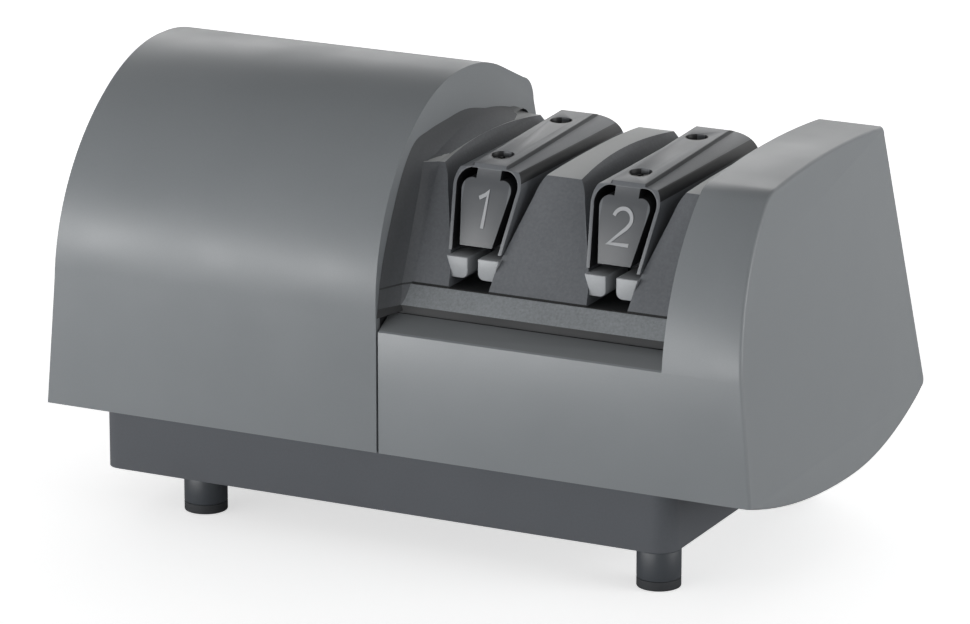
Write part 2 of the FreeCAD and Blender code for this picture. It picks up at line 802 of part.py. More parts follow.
def rectangle(sketch, half_across, half_up):
    return draw(
        sketch,
        (f"-{half_across}", f"-{half_up}"),
        (half_across, f"-{half_up}"),
        (half_across, half_up),
        (f"-{half_across}", half_up),
    )


switch = on_end_face("switch_housing")
pad(switch, rectangle(sketch_on(switch, "YZ_Plane", "-1.6"), "8", "12"), "1.6")
pad(switch, rectangle(sketch_on(switch, "YZ_Plane", "-0.1"), "6.4", "10.4"), "14")
pocket(switch, rectangle(sketch_on(switch, "YZ_Plane", "-2"), "5.2", "9.2"), "10", reverse=True)

rocker = on_end_face("rocker_switch")
rocker_side = draw(
    sketch_on(rocker, "XZ_Plane", "-4.9"),
    ("6", "-5"),
    ("-0.6", "-8.6"),
    ("-1.4", "0", "-4.2", "8.4"),
    ("6", "5"),
)
pad(rocker, rocker_side, "9.8")

pivot = draw_circle(sketch_on(rocker, "XZ_Plane", "-5.15"), "wall", "0", "1.2")
pad(rocker, pivot, "10.3")

doc.recompute()
broken = [thing.Name for thing in doc.Objects if {"Invalid", "Error"} & set(thing.State)]
if broken:
    raise ValueError(f"these objects failed: {broken}")
for thing in SUB_PARTS:
    if thing.Shape.isNull() or not thing.Shape.isValid():
        raise ValueError(f"{thing.Label} has no valid shape")
for thing in SUB_PARTS:
    thing.Shape.exportStep(f"parts/{thing.Label}.step")
print(len(SUB_PARTS), "sub-parts written")
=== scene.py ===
import json
import math

import bmesh
import bpy
from mathutils import Matrix, Vector


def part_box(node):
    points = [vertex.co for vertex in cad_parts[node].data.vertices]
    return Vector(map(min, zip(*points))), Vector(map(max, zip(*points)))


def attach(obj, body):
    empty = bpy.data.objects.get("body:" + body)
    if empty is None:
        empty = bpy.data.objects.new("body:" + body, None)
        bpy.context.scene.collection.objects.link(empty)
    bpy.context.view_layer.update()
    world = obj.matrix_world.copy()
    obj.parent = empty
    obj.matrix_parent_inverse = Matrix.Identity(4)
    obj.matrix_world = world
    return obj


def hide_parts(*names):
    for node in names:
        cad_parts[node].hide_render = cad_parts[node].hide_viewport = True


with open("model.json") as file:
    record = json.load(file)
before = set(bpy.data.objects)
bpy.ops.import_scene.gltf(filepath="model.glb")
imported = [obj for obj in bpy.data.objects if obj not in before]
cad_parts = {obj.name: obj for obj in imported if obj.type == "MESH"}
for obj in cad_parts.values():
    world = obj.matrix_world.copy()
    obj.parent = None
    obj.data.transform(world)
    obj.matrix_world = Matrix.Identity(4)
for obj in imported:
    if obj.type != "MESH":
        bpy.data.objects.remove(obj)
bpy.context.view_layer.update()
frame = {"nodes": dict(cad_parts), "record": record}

bl_info = {
    "name": "Electric Knife Sharpener",
    "version": (1, 0, 0),
    "blender": (4, 5, 0),
    "location": "View3D > Sidebar > Sharpener",
    "description": "Dresses the packed knife sharpener with its mouldings, finishes and studio",
    "category": "Object",
}

MM = 0.001
HOOD_LOW, HOOD_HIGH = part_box("motor_hood")
CAP_LOW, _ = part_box("end_housing")
SEAM = (HOOD_HIGH.x + CAP_LOW.x) / 2
FRONT = HOOD_LOW.y
BODY_OF = {node: body for body, nodes in frame["record"]["behaviour"]["bodies"].items() for node in nodes}
SLOT_OF = {part["node"]: part["material_slot"] for part in frame["record"]["subparts"]}


def spot(along, depth, height):
    """A place in metres from millimetres counted from the seam, the front face and the table."""
    return Vector((SEAM + along * MM, FRONT + depth * MM, height * MM))


# Middles of the two stages, along, and of the screws, in depth
STAGES = (24.1, 70.15)
SCREWS = (37.0, 77.5)
# The saddles' leaning front face: its depth at its foot, the foot's height, and depth gained per height
FACE_DEPTH = 15.6
FACE_FOOT = 90.0
FACE_LEAN = 0.4404


def linear(code):
    """A linear colour from an sRGB hex value."""
    parts = [int(code[i : i + 2], 16) / 255 for i in (1, 3, 5)]
    return tuple(p / 12.92 if p <= 0.04045 else ((p + 0.055) / 1.055) ** 2.4 for p in parts)


def colour(name, description, code):
    return bpy.props.FloatVectorProperty(
        name=name, description=description, subtype="COLOR", size=3, min=0, max=1, default=linear(code)
    )


def length(name, description, millimetres):
    return bpy.props.FloatProperty(
        name=name, description=description, unit="LENGTH", min=0, precision=5, default=millimetres * MM
    )


class SharpenerFinishes(bpy.types.PropertyGroup):
    """Colours of the finishes"""

    casing: colour("Casing", "Satin painted ABS of the hood and end housing", "#7B7F82")
    # Painted shade: the ledge's darker tone stands for the shade on its upward slope
    ledge: colour("Ledge", "Darker line of the front ledge", "#6B6E70")
    bay: colour("Bay", "Spark-textured ABS of the guide blocks", "#63666A")
    strip: colour("Strip", "Paler, speckled strip along the foot of the blocks", "#7B7F82")
    # Painted sheen: the guide blocks' level tops are made paler
    block_top_sheen: colour("Block tops", "Paler tops of the guide blocks", "#BEC0C0")
    saddle: colour("Saddle", "Satin nylon of the guide saddles", "#696C70")
    rest: colour("Blade rest", "Pale acetal of the blade rests", "#9A9DA0")
    base: colour("Base", "Spark-textured ABS of the base tray", "#505358")
    foot: colour("Foot", "Moulded ABS foot", "#373B40")
    rubber: colour("Rubber", "Nitrile rubber tip", "#2A2C2F")
    number: colour("Number", "Pad-printed stage number", "#A9ABAE")


class SharpenerSizes(bpy.types.PropertyGroup):
    """Sizes of what the eye picks out"""

    casing_round: length("Casing edge", "Rounding of the casing's end edges", 2.2)
    seam_round: length("Seam edge", "Rounding of the edges along the seam", 0.5)
    strip_relief: length("Strip relief", "How far the textured strip stands proud of the blocks", 0.3)
    number_stroke: length("Number stroke", "Width of a stage number's stroke", 1.1)
    number_relief: length("Number relief", "How far a stage number stands proud", 0.06)
    screw_head: length("Screw head", "Radius of a saddle screw's head", 3.1)


def finishes():
    return bpy.context.scene.sharpener_finishes


def sizes():
    return bpy.context.scene.sharpener_sizes


# Materials


def new_material(name):
    """An empty material with its shader and a texture coordinate node."""
    material = bpy.data.materials.new(name)
    material.use_nodes = True
    tree = material.node_tree
    tree.nodes.clear()
    output = tree.nodes.new("ShaderNodeOutputMaterial")
    shader = tree.nodes.new("ShaderNodeBsdfPrincipled")
    tree.links.new(shader.outputs["BSDF"], output.inputs["Surface"])
    return material, tree, shader


def add(tree, kind, inputs=None, **settings):
    """Add a node with its settings. An input is a value, or a socket to link from."""
    node = tree.nodes.new(kind)
    for key, value in settings.items():
        setattr(node, key, value)
    for key, value in (inputs or {}).items():
        if isinstance(value, bpy.types.NodeSocket):
            tree.links.new(value, node.inputs[key])
        else:
            node.inputs[key].default_value = value
    return node


def ramp(tree, fac, stops):
    """A colour ramp through (place, linear colour) stops."""
    node = add(tree, "ShaderNodeValToRGB", {"Fac": fac})
    while len(node.color_ramp.elements) < len(stops):
        node.color_ramp.elements.new(0.5)
    for element, (place, tone) in zip(node.color_ramp.elements, stops):
        element.position = place
        element.color = (*tone, 1)
    return node.outputs["Color"]


def maths(tree, operation, *values):
    """The output of a Math node, from numbers or sockets."""
    return add(tree, "ShaderNodeMath", dict(enumerate(values)), operation=operation).outputs[0]


def toned(tone, factor):
    return tuple(min(1, channel * factor) for channel in tone)


def plain_finish(name, tone, roughness, grain, depth, spread, metallic=0.0):
    """A moulded or machined finish: grain size in mm, bump depth in mm, tone spread as a share."""
    material, tree, shader = new_material(name)
    place = add(tree, "ShaderNodeTexCoord").outputs["Object"]
    fine = add(
        tree,
        "ShaderNodeTexNoise",
        {"Vector": place, "Scale": 1 / (grain * MM), "Detail": 3.0, "Roughness": 0.6},
    )
    cloud = add(tree, "ShaderNodeTexNoise", {"Vector": place, "Scale": 1 / (28 * MM), "Detail": 2.0})
    both = add(
        tree,
        "ShaderNodeMix",
        {0: 0.35, 2: fine.outputs["Fac"], 3: cloud.outputs["Fac"]},
    )
    colour_out = ramp(
        tree,
        both.outputs[0],
        ((0.3, toned(tone, 1 - spread)), (0.7, toned(tone, 1 + spread))),
    )
    tree.links.new(colour_out, shader.inputs["Base Color"])
    rough = add(
        tree,
        "ShaderNodeMapRange",
        {
            "Value": cloud.outputs["Fac"],
            "From Min": 0.3,
            "From Max": 0.7,
            "To Min": roughness - 0.04,
            "To Max": roughness + 0.05,
        },
    )
    tree.links.new(rough.outputs["Result"], shader.inputs["Roughness"])
    bump = add(
        tree,
        "ShaderNodeBump",
        {"Height": fine.outputs["Fac"], "Strength": 0.5, "Distance": depth * MM},
    )
    tree.links.new(bump.outputs["Normal"], shader.inputs["Normal"])
    shader.inputs["Metallic"].default_value = metallic
    return material


def metal_finish(name, code, roughness, grain, depth, spread, metallic):
    return plain_finish(name, linear(code), roughness, grain, depth, spread, metallic)


def inside(tree, value, low, high):
    """A mask that is 1 where a value lies between two limits."""
    return all_of(tree, maths(tree, "GREATER_THAN", value, low), maths(tree, "LESS_THAN", value, high))


def between(tree, height, low, high):
    """A mask between two heights in millimetres."""
    return inside(tree, height, low * MM, high * MM)


def all_of(tree, mask, *others):
    """A mask that is 1 where every given mask is 1."""
    for other in others:
        mask = maths(tree, "MULTIPLY", mask, other)
    return mask


GRAIN_LEFT = 0.08


def repaint(tree, shader, mask, tone):
    """Turn the finish to another tone inside a mask, and leave a little of its grain."""
    before = shader.inputs["Base Color"].links[0].from_socket
    flat = add(tree, "ShaderNodeMix", {0: GRAIN_LEFT, 6: (*tone, 1), 7: before}, data_type="RGBA")
    mixed = add(tree, "ShaderNodeMix", {0: mask, 6: before, 7: flat.outputs[2]}, data_type="RGBA")
    tree.links.new(mixed.outputs[2], shader.inputs["Base Color"])


def shader_of(material):
    return next(node for node in material.node_tree.nodes if node.type == "BSDF_PRINCIPLED")


def zone_inputs(tree):
    """Place along, depth and height in metres, and the upward part of the surface's normal."""
    place = add(tree, "ShaderNodeTexCoord").outputs["Object"]
    parts = add(tree, "ShaderNodeSeparateXYZ", {0: place}).outputs
    facing = add(tree, "ShaderNodeNewGeometry").outputs["Normal"]
    upward = add(tree, "ShaderNodeSeparateXYZ", {0: facing}).outputs[2]
    return parts[0], parts[1], parts[2], upward


def ledge_painted_shade(material):
    """Painted shade: the front ledge's upward slope is drawn darker, between the front panel and the strip.
    """
    tree = material.node_tree
    along, depth, height, _ = zone_inputs(tree)
    tall = between(tree, height, 71.9, 76.6)
    near = inside(tree, depth, spot(0, 0.15, 0).y, spot(0, 9, 0).y)
    right = inside(tree, along, spot(0.2, 0, 0).x, spot(94.4, 0, 0).x)
    repaint(tree, shader_of(material), all_of(tree, tall, near, right), finishes().ledge)


# Places in deep shade in the photo are darker in the finish too. Shares of the plain tone:
JOINT_SHADE = 0.12
UNDERCUT_SHADE = 0.1
FLOOR_SHADE = 0.05
HOOD_SHADE = 0.15
CHANNEL_SHADE = 0.04
FACE_SHADE = 0.6
PLATE_LINE_SHADE = 0.25
RECESS_SHADE = 0.05
# How far the shade beside the hood takes hold at the hood's wall
HOOD_SHADE_HOLD = 0.7


def block_zones(material):
    """Painted sheen on the guide blocks' level tops, and painted shade on their joint, undercut, slot floors
    and hood side.
    """
    tree = material.node_tree
    shader = shader_of(material)
    plain = finishes().bay
    along, depth, height, upward = zone_inputs(tree)
    # Painted sheen on the level tops of the guide blocks
    level = inside(tree, upward, 0.86, 1.1)
    tops = all_of(tree, level, between(tree, height, 116.8, 130))
    repaint(tree, shader, tops, finishes().block_top_sheen)
    front = inside(tree, depth, spot(0, 0, 0).y, spot(0, 14.2, 0).y)
    joint = all_of(tree, between(tree, height, 84.0, 84.5), front)
    repaint(tree, shader, joint, toned(plain, JOINT_SHADE))
    undercut = all_of(tree, between(tree, height, 60, 78.25), front)
    repaint(tree, shader, undercut, toned(plain, UNDERCUT_SHADE))
    floor = all_of(tree, between(tree, height, 80, 84.6), inside(tree, upward, 0.5, 1.1))
    repaint(tree, shader, floor, toned(plain, FLOOR_SHADE))
    wall, clear = spot(1, 0, 0).x, spot(6, 0, 0).x
    shade = add(
        tree,
        "ShaderNodeMapRange",
        {"Value": along, "From Min": wall, "From Max": clear, "To Min": HOOD_SHADE_HOLD, "To Max": 0.0},
    )
    repaint(tree, shader, shade.outputs["Result"], toned(plain, HOOD_SHADE))


def nearest(tree, value, places):
    """The distance from a value to the nearer of two places."""
    gaps = [maths(tree, "ABSOLUTE", maths(tree, "SUBTRACT", value, place)) for place in places]
    return maths(tree, "MINIMUM", *gaps)


# The channels end at this distance from a stage's middle, which grows with the height over 95 mm
CHANNEL_REACH = 8.35
CHANNEL_FLARE = 0.135
CHANNEL_FOOT = 95
RECESS_RADIUS = 3.62


def saddle_zones(material):
    """Shade in the channels, on the core's face, along the top plate and in the screw recesses."""
    tree = material.node_tree
    shader = shader_of(material)
    plain = finishes().saddle
    along, depth, height, _ = zone_inputs(tree)
    facing = add(tree, "ShaderNodeNewGeometry").outputs["Normal"]
    backward = add(tree, "ShaderNodeSeparateXYZ", {0: facing}).outputs[1]
    across = nearest(tree, along, [spot(stage, 0, 0).x for stage in STAGES])
    start = (CHANNEL_REACH - CHANNEL_FLARE * CHANNEL_FOOT) * MM
    flare = maths(tree, "MULTIPLY_ADD", height, CHANNEL_FLARE, start)
    within = maths(tree, "LESS_THAN", across, flare)
    tall = between(tree, height, 90, 118.5)
    channel = all_of(tree, within, tall, inside(tree, backward, -0.6, 1.1))
    repaint(tree, shader, channel, toned(plain, CHANNEL_SHADE))
    front = inside(tree, backward, -1.1, -0.6)
    face = all_of(tree, inside(tree, across, -1, 7.4 * MM), front, between(tree, height, 92, 118.4))
    repaint(tree, shader, face, toned(plain, FACE_SHADE))
    line = all_of(tree, inside(tree, across, 5.35 * MM, 6.1 * MM), between(tree, height, 119, 123))
    repaint(tree, shader, line, toned(plain, PLATE_LINE_SHADE))
    beside = nearest(tree, depth, [spot(0, screw, 0).y for screw in SCREWS])
    offset = add(tree, "ShaderNodeCombineXYZ", {0: across, 1: beside}).outputs[0]
    distance = add(tree, "ShaderNodeVectorMath", {0: offset}, operation="LENGTH").outputs["Value"]
    recess = all_of(tree, inside(tree, distance, -1, RECESS_RADIUS * MM), between(tree, height, 112, 125))
    repaint(tree, shader, recess, toned(plain, RECESS_SHADE))


MATERIALS = {}


def make_materials():
    tones = finishes()
    # Painted ABS, satin: soft broad highlights over a faint paint grain
    MATERIALS["casing"] = plain_finish("painted_abs_satin", tones.casing, 0.38, 0.5, 0.01, 0.03)
    ledge_painted_shade(MATERIALS["casing"])
    # Spark-eroded mould texture: a matt, slightly sparkling grey
    MATERIALS["bay"] = plain_finish("abs_spark_textured", tones.bay, 0.6, 0.9, 0.06, 0.16)
    block_zones(MATERIALS["bay"])
    MATERIALS["strip"] = plain_finish("abs_speckled_strip", tones.strip, 0.6, 0.8, 0.08, 0.24)
    MATERIALS["base"] = plain_finish("abs_base_textured", tones.base, 0.58, 0.6, 0.04, 0.08)
    # Glass-filled nylon, moulded satin
    MATERIALS["saddle"] = plain_finish("nylon_satin", tones.saddle, 0.42, 0.6, 0.015, 0.05)
    saddle_zones(MATERIALS["saddle"])
    MATERIALS["rest"] = plain_finish("acetal_pale", tones.rest, 0.4, 0.8, 0.01, 0.04)
    MATERIALS["foot"] = plain_finish("abs_foot", tones.foot, 0.45, 0.6, 0.015, 0.05)
    MATERIALS["rubber"] = plain_finish("nitrile_rubber", tones.rubber, 0.75, 0.5, 0.03, 0.1)
    MATERIALS["number"] = plain_finish("pad_print_grey", tones.number, 0.5, 0.4, 0.005, 0.04)
    # Screws near black, a painted shade for their recesses, and the metals of the drive and motor
    MATERIALS["screw"] = metal_finish("screw_painted_shade", "#17181A", 0.5, 0.4, 0.01, 0.1, 0.3)
    MATERIALS["steel"] = metal_finish("ground_steel", "#A9ACAE", 0.28, 0.4, 0.006, 0.05, 1.0)
    # Diamond grit bonded to the disc's cone, drawn coarser than real grit so that it shows
    MATERIALS["grit"] = metal_finish("diamond_grit", "#77787A", 0.5, 0.45, 0.1, 0.3, 0.7)
    MATERIALS["lamination"] = metal_finish("electrical_steel", "#77797B", 0.45, 0.5, 0.02, 0.1, 0.9)
    MATERIALS["copper"] = metal_finish("enamelled_copper", "#A45A35", 0.3, 0.5, 0.05, 0.15, 0.9)
    MATERIALS["bronze"] = metal_finish("sintered_bronze", "#A9824A", 0.45, 0.4, 0.02, 0.1, 0.9)
    MATERIALS["zinc"] = metal_finish("zinc_plate", "#B4B6B2", 0.35, 0.8, 0.008, 0.06, 0.9)
    # Plastics of the fan and the switch
    MATERIALS["natural"] = plain_finish("natural_nylon", linear("#D8D5CA"), 0.5, 0.6, 0.01, 0.04)
    MATERIALS["black"] = plain_finish("black_abs", linear("#1B1C1E"), 0.45, 0.6, 0.01, 0.08)


FINISH_OF_SLOT = {
    "satin_casing": "casing",
    "textured_housing": "bay",
    "saddle_plastic": "saddle",
    "blade_rest_plastic": "rest",
    "base_plastic": "base",
    "foot_plastic": "foot",
    "foot_rubber": "rubber",
    "diamond_abrasive": "grit",
    "disc_steel": "steel",
    "screw_steel": "screw",
    "shaft_steel": "steel",
    "lamination_steel": "lamination",
    "coil_copper": "copper",
    "bracket_steel": "zinc",
    "bearing_bronze": "bronze",
    "fan_plastic": "natural",
    "black_plastic": "black",
}


def finish_for(node):
    return MATERIALS[FINISH_OF_SLOT[SLOT_OF[node]]]


# Mesh helpers


def link(name, mesh, material):
    piece = bpy.data.objects.new(name, mesh)
    bpy.context.scene.collection.objects.link(piece)
    mesh.materials.clear()
    mesh.materials.append(material)
    return piece


def settle(piece, body, slot_name, *nodes):
    """Ride a finished piece on its body and let it stand for the CAD nodes."""
    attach(piece, body)
    if nodes:
        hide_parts(*nodes)
    return piece


def sharp_angle(edge):
    return edge.calc_face_angle(0.0) if len(edge.link_faces) == 2 else 0.0


def softened(name, node, *rounds, smooth=38, reshape=None):
    """A copy of a CAD node with its triangles joined and its sharp edges rounded.

    A round is (width in metres, segments, test of an edge), and the test may be None.
    """
    mesh = frame["nodes"][node].data.copy()
    form = bmesh.new()
    form.from_mesh(mesh)
    bmesh.ops.remove_doubles(form, verts=form.verts, dist=2e-6)
    bmesh.ops.dissolve_limit(
        form, angle_limit=math.radians(0.4), verts=form.verts, edges=form.edges, delimit={"NORMAL"}
    )
    if reshape:
        for vert in form.verts:
            reshape(vert.co)
    for width, segments, wanted in rounds:
        edges = [e for e in form.edges if sharp_angle(e) > math.radians(32) and (wanted is None or wanted(e))]
        bmesh.ops.bevel(
            form,
            geom=edges,
            offset=width,
            offset_type="OFFSET",
            segments=segments,
            profile=0.5,
            affect="EDGES",
            clamp_overlap=True,
        )
    form.to_mesh(mesh)
    form.free()
    for polygon in mesh.polygons:
        polygon.use_smooth = True
    mesh.set_sharp_from_angle(angle=math.radians(smooth))
    piece = link(name, mesh, finish_for(node))
    return settle(piece, BODY_OF[node], SLOT_OF[node], node)


def solid(name, section, first, last, material, body, slot_name):
    """A straight piece between two places along, from a section in (depth, height)."""
    form = bmesh.new()
    near = [form.verts.new(spot(first, *corner)) for corner in section]
    far = [form.verts.new(spot(last, *corner)) for corner in section]
    form.faces.new(near)
    form.faces.new(reversed(far))
    for index in range(len(section)):
        after = (index + 1) % len(section)
        form.faces.new((near[after], near[index], far[index], far[after]))
    bmesh.ops.recalc_face_normals(form, faces=form.faces)
    mesh = bpy.data.meshes.new(name)
    form.to_mesh(mesh)
    form.free()
    return settle(link(name, mesh, material), body, slot_name)


class SharpenerOperator(bpy.types.Operator):
    bl_options = {"REGISTER", "UNDO"}


class SHARPENER_OT_casing(SharpenerOperator):
    """Motor hood and end housing, satin painted, with soft edges"""

    bl_idname = "sharpener.casing"
    bl_label = "Casing"

    def execute(self, context):
        edge = sizes().casing_round
        seam = sizes().seam_round
        softened("hood_shell", "motor_hood", (edge, 4, on_hood_end), (seam, 2, clear_of_rear_corner))
        softened("end_shell", "end_housing", (edge, 4, on_cap_end), (seam, 2, clear_of_rear_corner))
        return {"FINISHED"}


# The two end faces lean in: place along at the skirt, lean per millimetre of height, from the CAD
HOOD_END = (-116.3, 9.6 / 112.2)
CAP_END = (123.7, -8.2 / 94.2)
SKIRT = 33.2


def on_plane(edge, end):
    start, lean = end
    for vert in edge.verts:
        height = vert.co.z / MM
        along = (vert.co.x - SEAM) / MM
        if abs(along - start - lean * max(0, height - SKIRT)) > 0.12:
            return False
    return True


def at_switch(vert):
    depth = (vert.co.y - FRONT) / MM
    return abs(depth - 62) < 9 and abs(vert.co.z / MM - 84) < 13


def on_hood_end(edge):
    """Edges of the hood's left end, apart from the bottom edge and the switch opening."""
    if any(at_switch(vert) for vert in edge.verts):
        return False
    low = all(vert.co.z < (SKIRT + 0.5) * MM for vert in edge.verts)
    return on_plane(edge, HOOD_END) and not low


def on_cap_end(edge):
    return on_plane(edge, CAP_END)


def clear_of_rear_corner(edge):
    return not on_plane(edge, HOOD_END) and not on_plane(edge, CAP_END)


# The saddle's core: its half width and lower edge in the CAD, the lift, and where its two ends lie
CORE_HALF = 6
CORE_EDGE = 95.4
CORE_LIFT = 1.2
CORE_FRONT = 25
CORE_REAR = 95
REAR_LEAN = 0.3
# The top plate starts to fall at PLATE_FOOT, in full after PLATE_BLEND. It falls from each screw forward
PLATE_FOOT = 118.5
PLATE_BLEND = 3
REAR_FALL = 0.035
FRONT_FALL = 0.14
PLATE_FRONT = 31


def saddle_form(stage):
    """Lift the core's lower edge clear of the pads and let the top plate fall towards the front."""

    def reshape(place):
        depth = (place.y - FRONT) / MM
        height = place.z / MM
        if abs(place.x - spot(stage, 0, 0).x) < CORE_HALF * MM and abs(height - CORE_EDGE) < 0.05:
            place.z += CORE_LIFT * MM
            if depth < CORE_FRONT:
                place.y += CORE_LIFT * MM * FACE_LEAN
            if depth > CORE_REAR:
                place.y -= CORE_LIFT * MM * REAR_LEAN
        share = min(1, max(0, (height - PLATE_FOOT) / PLATE_BLEND))
        slope = REAR_FALL * max(0, SCREWS[1] - depth) + FRONT_FALL * max(0, SCREWS[0] - depth)
        fall = share * slope
        place.z -= fall * MM
        if depth < PLATE_FRONT and share > 0:
            place.y -= fall * MM * FACE_LEAN

    return reshape


# A blade rest's drop, the height above which its inner end slopes, and the slope's fall
REST_DROP = 1.3
REST_MIDDLE = 93
REST_FALL = 1.2


def rest_form(depth_from, depth_to):
    """A blade rest is a shallow tab at the end of an arm, set a little lower than its solid."""

    def reshape(place):
        place.z -= REST_DROP * MM
        if abs(place.y - spot(0, depth_from, 0).y) < 0.1 * MM:
            place.y = spot(0, depth_to, 0).y
            if place.z > REST_MIDDLE * MM:
                place.z -= REST_FALL * MM

    return reshape


# The arch beside the hood: its edge on the hood and its foot on the first block, in (depth, height)
ARCH_EDGE = (
    (0.8, 75.5),
    (2.5, 84.0),
    (5.1, 92.9),
    (10.5, 104.1),
    (17.8, 116.4),
    (25.8, 124.3),
    (35.1, 126.1),
    (47.2, 126.9),
    (62.8, 126.9),
    (84.2, 121.6),
    (100.0, 116.9),
    (113.0, 88.0),
)
ARCH_FOOT = (
    (9.0, 76.5),
    (13.3, 84.1),
    (18.0, 92.6),
    (23.5, 102.6),
    (30.0, 114.4),
    (33.5, 118.3),
    (40.0, 119.4),
    (50.0, 120.3),
    (63.0, 120.6),
    (84.0, 119.6),
    (98.4, 117.4),
    (111.5, 88.0),
)
# The arch's back stands just left of the seam. Its foot reaches farthest along at the ledge
ARCH_BACK = -0.3
ARCH_REACH = 4.2
ARCH_NARROWING = 1.2
ARCH_STEPS = 6
ARCH_NARROWED_AT = 24


def smooth_line(points, steps):
    """Points on a Catmull-Rom curve through the given ones."""
    line = []
    last = len(points) - 1
    for index in range(last):
        around = [min(last, max(0, index + offset)) for offset in (-1, 0, 1, 2)]
        before, first, second, after = (Vector(points[place]) for place in around)
        for step in range(steps):
            t = step / steps
            bend = (2 * before - 5 * first + 4 * second - after) * t * t
            twist = (3 * first - before - 3 * second + after) * t * t * t
            line.append(0.5 * (2 * first + (second - before) * t + bend + twist))
    return [*line, Vector(points[-1])]


def hood_arch():
    """A wedge-shaped moulding that runs from the hood's end wall down to the first guide block."""
    form = bmesh.new()
    rows = []
    edges = smooth_line(ARCH_EDGE, ARCH_STEPS)
    feet = smooth_line(ARCH_FOOT, ARCH_STEPS)
    for index, (edge, foot) in enumerate(zip(edges, feet)):
        reach = ARCH_REACH - ARCH_NARROWING * min(1, index / ARCH_NARROWED_AT)
        corners = ((ARCH_BACK, *edge), (reach, *foot), (ARCH_BACK, *foot))
        rows.append([form.verts.new(spot(*corner)) for corner in corners])
    for first, second in zip(rows, rows[1:]):
        for index in range(3):
            after = (index + 1) % 3
            form.faces.new((first[index], first[after], second[after], second[index]))
    form.faces.new(rows[0])
    form.faces.new(reversed(rows[-1]))
    bmesh.ops.recalc_face_normals(form, faces=form.faces)
    mesh = bpy.data.meshes.new("hood_arch")
    form.to_mesh(mesh)
    form.free()
    for polygon in mesh.polygons:
        polygon.use_smooth = True
    mesh.set_sharp_from_angle(angle=math.radians(50))
    settle(link("hood_arch", mesh, MATERIALS["bay"]), "casing", "textured_housing")


class SHARPENER_OT_bay(SharpenerOperator):
    """Guide blocks, guide saddles and blade rests"""

    bl_idname = "sharpener.bay"
    bl_label = "Sharpening bay"

    def execute(self, context):
        softened("guide_blocks", "bay_housing", (0.3 * MM, 2, None), smooth=24)
        relief = sizes().strip_relief / MM
        section = (
            (9.3 - relief, 78.3),
            (13.5 - relief, 83.95),
            (13.5, 83.95),
            (9.3, 78.3),
        )
        solid("textured_strip", section, 0.5, 94.3, MATERIALS["strip"], "casing", "textured_housing")
        # A web over the small opening in the hood's end wall, where strip, ledge and hood meet
        web = ((2.7, 69), (8.0, 69), (9.4, 74), (9.4, 80.4), (2.7, 80.4))
        solid("hood_corner_web", web, -2.8, -0.45, MATERIALS["bay"], "casing", "textured_housing")
        for number, stage in enumerate(STAGES, start=1):
            saddle = f"guide_saddle_{number}"
            softened(f"saddle_{number}", saddle, (0.2 * MM, 2, None), reshape=saddle_form(stage))
            for side in ("left", "right"):
                for end, solid_end, tab_end in (("front", 32.4, 19.2), ("rear", 82.0, 101.2)):
                    rest = f"blade_rest_{number}_{end}_{side}"
                    form = rest_form(solid_end, tab_end)
                    softened(f"rest_pad_{number}_{end}_{side}", rest, (0.3 * MM, 2, None), reshape=form)
        hood_arch()
        return {"FINISHED"}


def bowl(middle, radius, first, last, steps=14):
    """Points on an arc, angles in degrees."""
    turns = [math.radians(first + (last - first) * step / steps) for step in range(steps + 1)]
    return [(middle[0] + radius * math.cos(turn), middle[1] + radius * math.sin(turn)) for turn in turns]


# Strokes of the stage numbers: (place from the stage's middle, height) on the saddle's leaning face
STROKES = {
    1: [(-1.7, 110.3), (0.2, 111.3), (1.0, 112.2), (0.9, 101.9)],
    2: bowl((0.1, 109.5), 3.0, 165, -18) + [(2.0, 107.2), (-3.1, 102.5), (3.5, 102.5)],
}


def on_face(stage, across, height, proud):
    """A place on a saddle's leaning front face, a distance proud of it."""
    lean = math.atan(FACE_LEAN)
    depth = FACE_DEPTH + (height - FACE_FOOT) * FACE_LEAN - proud * math.cos(lean)
    return spot(stage + across, depth, height + proud * math.sin(lean))


def ribbon(stage, points, width, relief):
    """A flat stroke with mitred corners that stands proud of the saddle's face."""
    form = bmesh.new()
    sides = []
    for index, here in enumerate(points):
        before = Vector(points[max(0, index - 1)])
        after = Vector(points[min(len(points) - 1, index + 1)])
        here = Vector(here)
        arrive = (here - before).normalized() if index else (after - here).normalized()
        leave = (after - here).normalized() if index < len(points) - 1 else arrive
        bend = (arrive + leave).normalized()
        across = Vector((-bend.y, bend.x))
        reach = min(1.6, 1 / max(0.4, across.dot(Vector((-arrive.y, arrive.x)))))
        row = []
        for side, proud in ((1, relief), (-1, relief), (-1, -0.05), (1, -0.05)):
            place = here + across * side * reach * width / 2
            row.append(form.verts.new(on_face(stage, place.x, place.y, proud)))
        sides.append(row)
    for first, second in zip(sides, sides[1:]):
        for index in range(4):
            after = (index + 1) % 4
            form.faces.new((first[index], first[after], second[after], second[index]))
    form.faces.new(sides[0])
    form.faces.new(reversed(sides[-1]))
    bmesh.ops.recalc_face_normals(form, faces=form.faces)
    return form


class SHARPENER_OT_numbers(SharpenerOperator):
    """Stage numbers on the front of the guide saddles"""

    bl_idname = "sharpener.numbers"
    bl_label = "Stage numbers"

    def execute(self, context):
        for number, stage in enumerate(STAGES, start=1):
            form = ribbon(stage, STROKES[number], sizes().number_stroke / MM, sizes().number_relief / MM)
            mesh = bpy.data.meshes.new(f"number_{number}")
            form.to_mesh(mesh)
            form.free()
            piece = link(f"number_{number}", mesh, MATERIALS["number"])
            settle(piece, "casing", "blade_rest_plastic")
        return {"FINISHED"}


def nodes_group(name):
    """An empty geometry tree with one geometry output."""
    tree = bpy.data.node_groups.new(name, "GeometryNodeTree")
    tree.interface.new_socket("Geometry", in_out="OUTPUT", socket_type="NodeSocketGeometry")
    return tree


def group_input(tree, name, value):
    """A named length input of a tree."""
    socket = tree.interface.new_socket(name, in_out="INPUT", socket_type="NodeSocketFloat")
    socket.default_value = value
    socket.subtype = "DISTANCE"
    return socket


